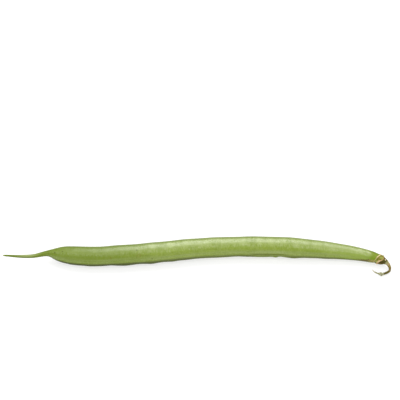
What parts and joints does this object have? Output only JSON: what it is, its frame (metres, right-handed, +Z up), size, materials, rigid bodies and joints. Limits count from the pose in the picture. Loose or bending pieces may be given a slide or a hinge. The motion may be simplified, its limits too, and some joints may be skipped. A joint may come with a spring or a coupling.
{
  "type": "green bean",
  "caption": "Slender, gently bowed green bean pod lying on its flank, with a thin beak, a dried calyx and a curled stalk.",
  "frame": {"origin": "middle of the bean's box, on the surface it lies on", "axes": "+X along the bean from beak to stalk, +Y towards the outer side of its bow, +Z up"},
  "size_m": [0.1706, 0.019, 0.0091],
  "materials": {
    "pod_skin": "satin",
    "dried_calyx": "matte",
    "stalk_bark": "matte"
  },
  "bodies": {
    "root": {"pod": "pod_skin", "calyx": "dried_calyx", "stalk": "stalk_bark"}
  },
  "joints": []
}
